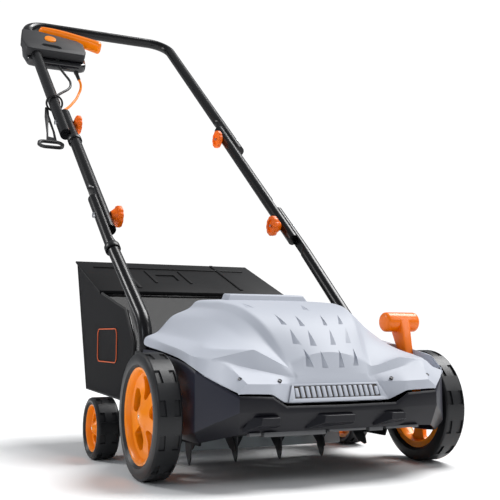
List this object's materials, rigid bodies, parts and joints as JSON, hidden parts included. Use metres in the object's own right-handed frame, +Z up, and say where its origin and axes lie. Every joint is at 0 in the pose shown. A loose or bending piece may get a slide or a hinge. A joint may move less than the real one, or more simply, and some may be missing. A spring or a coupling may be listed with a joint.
{
  "type": "lawn dethatcher",
  "caption": "Corded electric lawn dethatcher with a moulded hood, spring-knife reel, four wheels, folding tube handle with bail switch, and rear mesh grass box.",
  "frame": {"origin": "bottom centre of the machine's bounding box, on the ground", "axes": "+X across the machine, towards the height lever's side; +Y from the hood to the handle; +Z up"},
  "size_m": [0.5625, 1.4443, 1.1475],
  "materials": {
    "hood_grey": "satin moulded light grey",
    "black_plastic": "fine-grained moulded black",
    "gloss_black_paint": "gloss black powder coat",
    "orange_plastic": "satin moulded orange",
    "tyre_rubber": "moulded black tread",
    "bright_steel": "zinc plated",
    "dark_knife_steel": "oil-blackened spring steel",
    "motor_metal": "dark coated casting",
    "belt_rubber": "ribbed belt rubber",
    "mesh_fabric": "open woven mesh",
    "cord_orange": "smooth orange sheath"
  },
  "bodies": {
    "chassis": {"hood": "hood_grey", "vent_grille": "hood_grey", "front_bumper": "black_plastic", "reel_housing": "black_plastic", "rear_cover": "black_plastic", "rear_deflector": "bright_steel", "motor": "motor_metal", "bearing_left": "bright_steel", "bearing_right": "bright_steel", "detent_plate": "bright_steel", "rear_axle": "bright_steel", "handle_bracket_left": "black_plastic", "handle_bracket_right": "black_plastic", "lower_tube_left": "gloss_black_paint", "lower_tube_right": "gloss_black_paint", "motor_cable_lower": "black_plastic", "drive_belt": "belt_rubber"},
    "front_axle": {"front_axle": "bright_steel", "height_lever": "orange_plastic"},
    "front_left_wheel": {"tyre_front_left": "tyre_rubber", "rim_front_left": "orange_plastic"},
    "front_right_wheel": {"tyre_front_right": "tyre_rubber", "rim_front_right": "orange_plastic"},
    "rear_left_wheel": {"tyre_rear_left": "tyre_rubber", "rim_rear_left": "orange_plastic"},
    "rear_right_wheel": {"tyre_rear_right": "tyre_rubber", "rim_rear_right": "orange_plastic"},
    "reel": {"reel_shaft": "bright_steel", "reel_pulley": "black_plastic", "knife_set_1": "dark_knife_steel", "knife_set_2": "dark_knife_steel", "knife_set_3": "dark_knife_steel", "knife_set_4": "dark_knife_steel"},
    "motor_rotor": {"motor_pulley": "bright_steel"},
    "middle_handle": {"middle_tube_left": "gloss_black_paint", "middle_tube_right": "gloss_black_paint", "clamp_bolt_upper_left": "bright_steel", "clamp_bolt_upper_right": "bright_steel", "clamp_bolt_lower_left": "bright_steel", "clamp_bolt_lower_right": "bright_steel", "motor_cable_middle": "black_plastic"},
    "upper_handle": {"upper_handle": "gloss_black_paint", "switch_box_top": "black_plastic", "switch_box_bottom": "gloss_black_paint", "cord_relief": "black_plastic", "cable_gland": "black_plastic", "cable_retainer": "black_plastic", "power_cord": "cord_orange", "inlet_plug": "black_plastic", "motor_cable_upper": "black_plastic"},
    "bail": {"bail_lever": "orange_plastic"},
    "button": {"safety_button": "orange_plastic"},
    "knob_upper_left": {"knob_upper_left": "orange_plastic"},
    "knob_upper_right": {"knob_upper_right": "orange_plastic"},
    "knob_lower_left": {"knob_lower_left": "orange_plastic"},
    "knob_lower_right": {"knob_lower_right": "orange_plastic"},
    "grass_box": {"grass_bag": "mesh_fabric", "grass_box_frame": "black_plastic", "grass_box_lid": "black_plastic"},
    "rear_flap": {"rear_flap": "black_plastic"}
  },
  "joints": [
    {"name": "cutting_height", "type": "hinge", "parent": "chassis", "child": "front_axle", "pos_m": [0.0067, -0.6042, 0.118], "axis": [1, 0, 0], "range_deg": [0, 24]},
    {"name": "front_left_roll", "type": "hinge", "parent": "front_axle", "child": "front_left_wheel", "pos_m": [-0.2438, -0.5642, 0.095], "axis": [1, 0, 0], "continuous": true},
    {"name": "front_right_roll", "type": "hinge", "parent": "front_axle", "child": "front_right_wheel", "pos_m": [0.2572, -0.5642, 0.095], "axis": [1, 0, 0], "continuous": true},
    {"name": "rear_left_roll", "type": "hinge", "parent": "chassis", "child": "rear_left_wheel", "pos_m": [-0.2475, -0.3122, 0.0535], "axis": [1, 0, 0], "continuous": true},
    {"name": "rear_right_roll", "type": "hinge", "parent": "chassis", "child": "rear_right_wheel", "pos_m": [0.2609, -0.3122, 0.0535], "axis": [1, 0, 0], "continuous": true},
    {"name": "reel_spin", "type": "hinge", "parent": "chassis", "child": "reel", "pos_m": [0.0067, -0.4892, 0.075], "axis": [1, 0, 0], "continuous": true},
    {"name": "motor_spin", "type": "hinge", "parent": "chassis", "child": "motor_rotor", "pos_m": [0.0067, -0.4842, 0.196], "axis": [1, 0, 0], "continuous": true},
    {"name": "lower_fold", "type": "hinge", "parent": "chassis", "child": "middle_handle", "pos_m": [0.0067, -0.13452, 0.45593], "axis": [1, 0, 0], "range_deg": [0, 140]},
    {"name": "upper_fold", "type": "hinge", "parent": "middle_handle", "child": "upper_handle", "pos_m": [0.0067, 0.1928, 0.7191], "axis": [1, 0, 0], "range_deg": [-115, 0]},
    {"name": "bail_squeeze", "type": "hinge", "parent": "upper_handle", "child": "bail", "pos_m": [-0.1783, 0.65573, 1.0913], "axis": [0, -0.6266, 0.7793], "range_deg": [0, 9], "stiffness_Nm_per_rad": 6, "springref_deg": -20.05},
    {"name": "safety_press", "type": "slide", "parent": "upper_handle", "child": "button", "axis": [0, 0.6266, -0.7793], "range_m": [0, 0.0028], "stiffness_N_per_m": 400, "springref_m": -0.003},
    {"name": "knob_upper_left_turn", "type": "hinge", "parent": "middle_handle", "child": "knob_upper_left", "pos_m": [-0.1733, 0.1928, 0.7191], "axis": [1, 0, 0], "continuous": true},
    {"name": "knob_upper_right_turn", "type": "hinge", "parent": "middle_handle", "child": "knob_upper_right", "pos_m": [0.1867, 0.1928, 0.7191], "axis": [1, 0, 0], "continuous": true},
    {"name": "knob_lower_left_turn", "type": "hinge", "parent": "middle_handle", "child": "knob_lower_left", "pos_m": [-0.1733, -0.13452, 0.45593], "axis": [1, 0, 0], "continuous": true},
    {"name": "knob_lower_right_turn", "type": "hinge", "parent": "middle_handle", "child": "knob_lower_right", "pos_m": [0.1867, -0.13452, 0.45593], "axis": [1, 0, 0], "continuous": true},
    {"name": "box_unhook", "type": "slide", "parent": "chassis", "child": "grass_box", "axis": [0, 1, 0], "range_m": [0, 0.12]},
    {"name": "flap_swing", "type": "hinge", "parent": "chassis", "child": "rear_flap", "pos_m": [0.0067, -0.4052, 0.179], "axis": [1, 0, 0], "range_deg": [-85, 0]}
  ],
  "couplings": [
    {"joint": "motor_spin", "follows": "reel_spin", "ratio": 2.9167}
  ]
}
